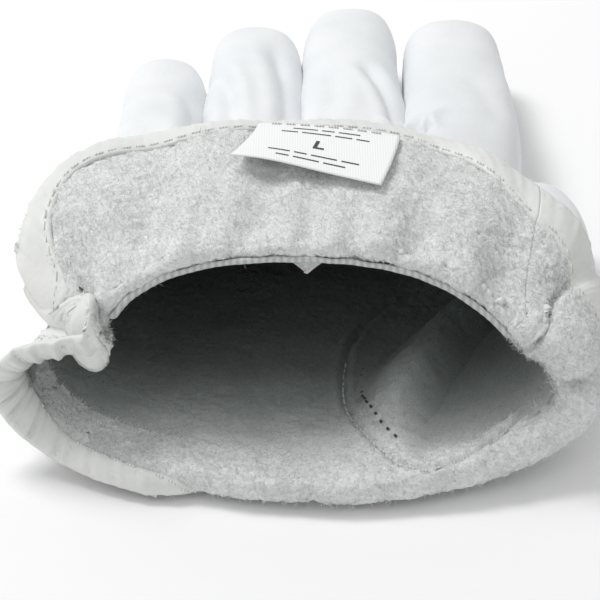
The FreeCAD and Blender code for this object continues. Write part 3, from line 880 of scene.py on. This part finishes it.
knuckle = rings[-1]
gap_middle = [cage.verts.new((Vector(knuckle[3 + 2 * j].co) + Vector(knuckle[17 - 2 * j].co)) / 2
                             + Vector((0, -0.002, 0))) for j in range(3)]
for number, (name, hinge_y, knuckle_x, tip_x, tip_y, half_width) in enumerate(FINGERS):
    j = 3 - number
    top = [knuckle[1 + 2 * j], knuckle[2 + 2 * j], knuckle[3 + 2 * j]]
    bottom = [knuckle[(19 - 2 * j) % 20], knuckle[18 - 2 * j], knuckle[17 - 2 * j]]
    thumb_side = knuckle[0] if j == 0 else gap_middle[j - 1]
    little_side = knuckle[10] if j == 3 else gap_middle[j]
    boundary = [thumb_side, *top, little_side, *bottom[::-1]]

    def finger_point(k, station, finger=(hinge_y, knuckle_x, tip_x, tip_y, half_width)):
        base, x0, x1, end, half = finger
        share, size = station
        y = base + (end - base) * share
        height = (13.2 - 1.4 * share) * size
        angle = math.radians((0, 42, 90, 138, 180, 222, 270, 318)[k])
        wide = half * (1 - 0.05 * share) * size * SWELL * 1.02
        square = 1.0 if k % 2 == 0 else 1.18
        z = 13.6 - 0.6 * share + height * SWELL * 1.08 * math.sin(angle) * square
        return x0 + (x1 - x0) * share + wide * math.cos(angle) * square, y, max(z, 0.9)

    tube_on(boundary, ((0.10, 1.0), (0.3, 1.0), (0.55, 0.985), (0.78, 0.97), (0.925, 0.86), (0.985, 0.52)),
            finger_point, number + 1, (tip_x, tip_y + 0.6, 13.0))
print("cage with fingers:", len(cage.faces), "faces")

# %% Thumb on the cage
a, b, c = rings[THUMB_ROWS[0]], rings[THUMB_ROWS[0] + 1], rings[THUMB_ROWS[0] + 2]
opening = [a[0], a[1], b[1], c[1], c[0], c[19], b[19], a[19]]
# y, lean, middle x, half width, middle z, half height: lean sets the outer side further back than the inner
THUMB = ((-3.0, 12.0, 58.0, 13.4, 14.2, 12.0), (9.0, 7.0, 59.2, 12.9, 12.8, 11.6),
         (19.0, 2.0, 59.4, 12.6, 12.2, 11.2), (29.0, 0.0, 58.8, 12.2, 11.6, 10.8), (36.5, 0.0, 58.2, 10.6, 11.2, 9.6), (41.0, 0.0, 57.9, 6.6, 11.0, 6.0))
THUMB_INNER_X = 47.3  # the thumb's side that faces the hand stays outside the hand


def thumb_point(k, row):
    y, lean, middle_x, half_width, middle_z, half_height = row
    angle = math.radians((0, 45, 90, 135, 180, 225, 270, 315)[k])
    square = 1.0 if k % 2 == 0 else 1.14
    lean *= 1.3 if k in (3, 4, 5) else 1.0
    x = middle_x + half_width * SWELL * math.cos(angle) * square
    return (max(x, THUMB_INNER_X), y - lean * math.cos(angle),
            max(middle_z + half_height * SWELL * math.sin(angle) * square, 0.9))


tube_on(opening, THUMB, thumb_point, THUMB_SLOT, (57.9, 43.0, 11.0))
print("cage with thumb:", len(cage.faces), "faces")

# %% [markdown]
# Soft leather folds where a finger's seam is a little shorter than the leather beside it. Each fold is a
# valley pressed along a line, with a low ridge on each side of it.

# %% Rounding, folds and panels
# x, y at one end, x, y at the other, depth, width
FOLDS = ((-22.4, 94, -18.4, 54, 1.5, 2.2), (-6.4, 104, -3.2, 58, 1.4, 2.4), (18.4, 92, 25.6, 60, 1.5, 1.9),
         (25.2, 63, 31.5, 56, 1.6, 2.2), (31.5, 58, 33.0, 66, 1.9, 1.8), (8.6, 88, 6.0, 60, 0.7, 2.5),
         (-29.5, 76, -28.0, 52, 0.8, 2.4), (38, 44, 50, 30, 0.8, 3.0), (-6, 42, 8, 34, 0.5, 4.0),
         (46.0, 84, 51.5, 62, 0.6, 3.0), (-42, 60, -38, 48, 0.6, 3.0))


def press_folds(piece):
    """Moves a rounded piece's vertices into its folds, and gives the leather its slow unevenness."""
    mesh = piece.data
    count = len(mesh.vertices)
    co, no = np.empty(count * 3), np.empty(count * 3)
    mesh.vertices.foreach_get("co", co)
    mesh.vertices.foreach_get("normal", no)
    co, no = co.reshape(-1, 3), no.reshape(-1, 3)
    x, y = co[:, 0] * 1000 - SET_X, co[:, 1] * 1000 - SET_Y
    z = co[:, 2] * 1000
    move = np.zeros(count)
    for x0, y0, x1, y1, depth, width in FOLDS:
        run = np.array([x1 - x0, y1 - y0])
        along_it = np.clip(((x - x0) * run[0] + (y - y0) * run[1]) / (run @ run), -0.25, 1.25)
        bow = 1.5 * np.sin(np.pi * np.clip(along_it, 0, 1))
        side = ((x - x0) * run[1] - (y - y0) * run[0]) / np.hypot(*run) + bow
        beyond = np.hypot(x - x0 - run[0] * along_it, y - y0 - run[1] * along_it)
        ends = smooth(-0.25, 0.15, along_it) * (1 - smooth(0.8, 1.25, along_it))
        shape = np.exp(-(side / width) ** 2) - 0.45 * np.exp(-((np.abs(side) - 2.2 * width) / width) ** 2)
        move -= depth * shape * ends * (beyond < 14) * smooth(10, 18, z)
    slow = np.array([noise.noise(Vector((a * 45, b * 30, c * 45))) for a, b, c in co])
    fine = np.array([noise.noise(Vector((a * 130 + 9, b * 90, c * 130))) for a, b, c in co])
    move += 0.9 * slow * smooth(1.5, 8, z) + 0.3 * fine * smooth(1.5, 6, z)
    co += no * (move / 1000)[:, None]
    co[:, 2] = np.maximum(co[:, 2], 0.0012)
    mesh.vertices.foreach_set("co", co.ravel())
    mesh.update()


mesh = bpy.data.meshes.new("glove_outside")
bmesh.ops.recalc_face_normals(cage, faces=cage.faces[:])
cage.to_mesh(mesh)
cage.free()
outside = bpy.data.objects.new("glove_outside", mesh)
bpy.context.scene.collection.objects.link(outside)
for _ in range(6):
    mesh.materials.append(GRAIN)
rounding = outside.modifiers.new("rounding", "SUBSURF")
rounding.levels = rounding.render_levels = 4
apply_all(outside)
press_folds(outside)
bpy.ops.object.select_all(action="DESELECT")
bpy.context.view_layer.objects.active = outside
outside.select_set(True)
bpy.ops.object.mode_set(mode="EDIT")
bpy.ops.mesh.select_all(action="SELECT")
bpy.ops.mesh.separate(type="MATERIAL")
bpy.ops.object.mode_set(mode="OBJECT")
print("outside faces:", sum(len(o.data.polygons) for o in bpy.context.selected_objects))

# %% Each part of the outside is named and thickened, and the hand's rides with its body
leathers = {}
for piece in list(bpy.context.selected_objects):
    middle_of = np.mean([v.co[:] for v in piece.data.vertices], axis=0) * 1000 - (SET_X, SET_Y, 0)
    if middle_of[1] < 40 and middle_of[0] < 30:
        name = "hand_leather"
    elif middle_of[1] < 40:
        name = "thumb_leather"
    else:
        name = min(FINGERS, key=lambda f: abs(f[2] - middle_of[0]))[0] + "_finger_leather"
    piece.name = piece.data.name = name
    piece.data.materials.clear()
    piece.data.materials.append(GRAIN)
    piece.data.materials.append(LINING)
    piece.data.polygons.foreach_set("material_index", [0] * len(piece.data.polygons))
    thicken(piece, 0.9, 1)
    apply_all(piece)
    bpy.ops.object.shade_smooth_by_angle(angle=math.radians(50))
    leathers[name] = piece
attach(leathers["hand_leather"], "hand")
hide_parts("palm_panel", "back_panel", "thumb_gusset", "thumb_seam_stitches")
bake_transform(leathers["thumb_leather"])
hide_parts("thumb_front", "thumb_back")
for name, hinge_y, *_ in FINGERS:
    piece = leathers[name + "_finger_leather"]
    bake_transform(piece)
    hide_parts(*[n for n in frame["nodes"] if n.startswith(name + "_")])
print("leather pieces:", sorted(leathers))

# %% [markdown]
# ## The label
# A small satin tape, cut square and sewn by its upper edge just inside the hem. Its free end curls up. The
# print is a size letter between rows of plain bars.

# %% The label
def label_point(u, v, lift=0.0):
    """u runs from the little-finger side to the thumb side, and v from the sewn edge to the free one."""
    t = 99.0 - 33.0 * u + (7.0 - u) * v
    s = 59.0 - 6.5 * u - (22.2 + 3.6 * u) * v
    height = 1.5 + 0.6 * v + 1.6 * v ** 3 * (1 - 0.6 * u) + 0.5 * np.sin(5 * u + 1) * v
    return cuff(t, s, height + lift + gathers(t, s))


label = formed("label_tape", 40, 30, label_point)
flip(label)
label.data.materials.append(SATIN)
thicken(label, 0.35)
apply_all(label)
soft(label)
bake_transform(label)
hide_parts("label")

# a size letter, and rows of plain printed bars: place down the label, height, widths of the bars
SIZE_LETTER = ("L", 0.60, 4.2)
BAR_ROWS = ((0.17, 0.5, (6, 3, 5)), (0.27, 0.5, (4, 7, 4, 3)), (0.74, 0.5, (5, 3, 6, 4)), (0.84, 0.5, (3, 6, 5)))


def print_on_label(name, mesh):
    """Lays a flat mesh, in mm from the middle of its row, on the label's satin."""
    flat = np.array([v.co[:] for v in mesh.vertices])
    p = label_point(0.5 + flat[:, 0] / 34, flat[:, 1] / 25, 0.09)
    for vertex, (x, y, z) in zip(mesh.vertices, p):
        vertex.co = place(x, y, z)
    text = bpy.data.objects.new(name, mesh)
    bpy.context.scene.collection.objects.link(text)
    mesh.materials.clear()
    mesh.materials.append(INK_AND_HOLE_SHADE)
    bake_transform(text)


words, row, height = SIZE_LETTER
bpy.ops.object.select_all(action="DESELECT")
bpy.ops.object.text_add(location=(0, 0, 0))
letter = bpy.context.object
letter.data.body = words
letter.data.align_x = "CENTER"
letter.data.size = height * 1.35
letter.data.offset = 0.15
bpy.ops.object.convert(target="MESH")
letter_mesh = letter.data.copy()
bpy.data.objects.remove(letter)
letter_mesh.name = "label_size_letter"
for vertex in letter_mesh.vertices:
    vertex.co = (vertex.co.x, row * 25 - vertex.co.y, 0)
print_on_label("label_size_letter", letter_mesh)
bars = bmesh.new()
for row, height, widths in BAR_ROWS:
    x = -(sum(widths) + len(widths) - 1) / 2
    for width in widths:
        steps = np.linspace(x, x + width, 2 * width + 1)
        low = [bars.verts.new((a, row * 25 + height, 0)) for a in steps]
        high = [bars.verts.new((a, row * 25, 0)) for a in steps]
        for k in range(len(steps) - 1):
            bars.faces.new((low[k], low[k + 1], high[k + 1], high[k]))
        x += width + 1
bar_mesh = bpy.data.meshes.new("label_bars")
bars.to_mesh(bar_mesh)
bars.free()
print_on_label("label_bars", bar_mesh)
label_row = even_steps(label_point(np.linspace(0.03, 0.97, 200), 0.06, 0.25), 3.4)
stitch_row("label_thread", label_row, 2.3, 0.5, "hand", ["label_stitches"])
print("label rows of bars:", len(BAR_ROWS))

# %% [markdown]
# ## Floor, light and camera
# A plain white table, soft light from a large box above and in front, and a long lens that looks down
# into the mouth.

# %% Floor
bpy.ops.object.select_all(action="DESELECT")
bpy.ops.mesh.primitive_plane_add(size=6, location=(0, 0, -0.0005))
floor = bpy.context.object
floor.name = "table_top"
floor_material, _, _ = new_material("white_table", 0.9)
floor_material.node_tree.nodes["Principled BSDF"].inputs["Base Color"].default_value = linear("#fdfdfd")
floor.data.materials.append(floor_material)
print("floor at z =", floor.location.z)

# %% Light
def light(name, spot, target, size, power):
    """A square soft light that points at a target."""
    bpy.ops.object.light_add(type="AREA", location=spot)
    lamp = bpy.context.object
    lamp.name = name
    lamp.data.size = size
    lamp.data.energy = power
    lamp.rotation_euler = (Vector(target) - Vector(spot)).to_track_quat("-Z", "Y").to_euler()
    return lamp


middle = Vector(place(0, -20, 25))
light("sky_light", middle + Vector((-0.45, 0.35, 0.9)), middle, 0.4, 6.0)
light("front_light", middle + Vector((-0.5, -0.9, 0.7)), middle, 0.8, 0.9)
world = bpy.data.worlds.new("studio")
bpy.context.scene.world = world
world.use_nodes = True
world.node_tree.nodes["Background"].inputs["Color"].default_value = (1, 1, 1, 1)
world.node_tree.nodes["Background"].inputs["Strength"].default_value = 0.56
bpy.context.scene.view_settings.view_transform = "Standard"

# %% Camera
ELEVATION = math.radians(30)
DISTANCE = 520.0
SENSOR_WIDTH, FOCAL = 36, 143.52
target = Vector((0.0, WRIST_Y - 4.2, 37.8))
eye = target - Vector((0, math.cos(ELEVATION), -math.sin(ELEVATION))) * DISTANCE
bpy.ops.object.camera_add(location=place(*eye), rotation=(math.pi / 2 - ELEVATION, 0, 0))
camera = bpy.context.object
camera.name = "camera"
camera.data.sensor_width = SENSOR_WIDTH
camera.data.lens = FOCAL
bpy.context.scene.camera = camera
print(f"lens {FOCAL:.0f} mm at {DISTANCE:.0f} mm")
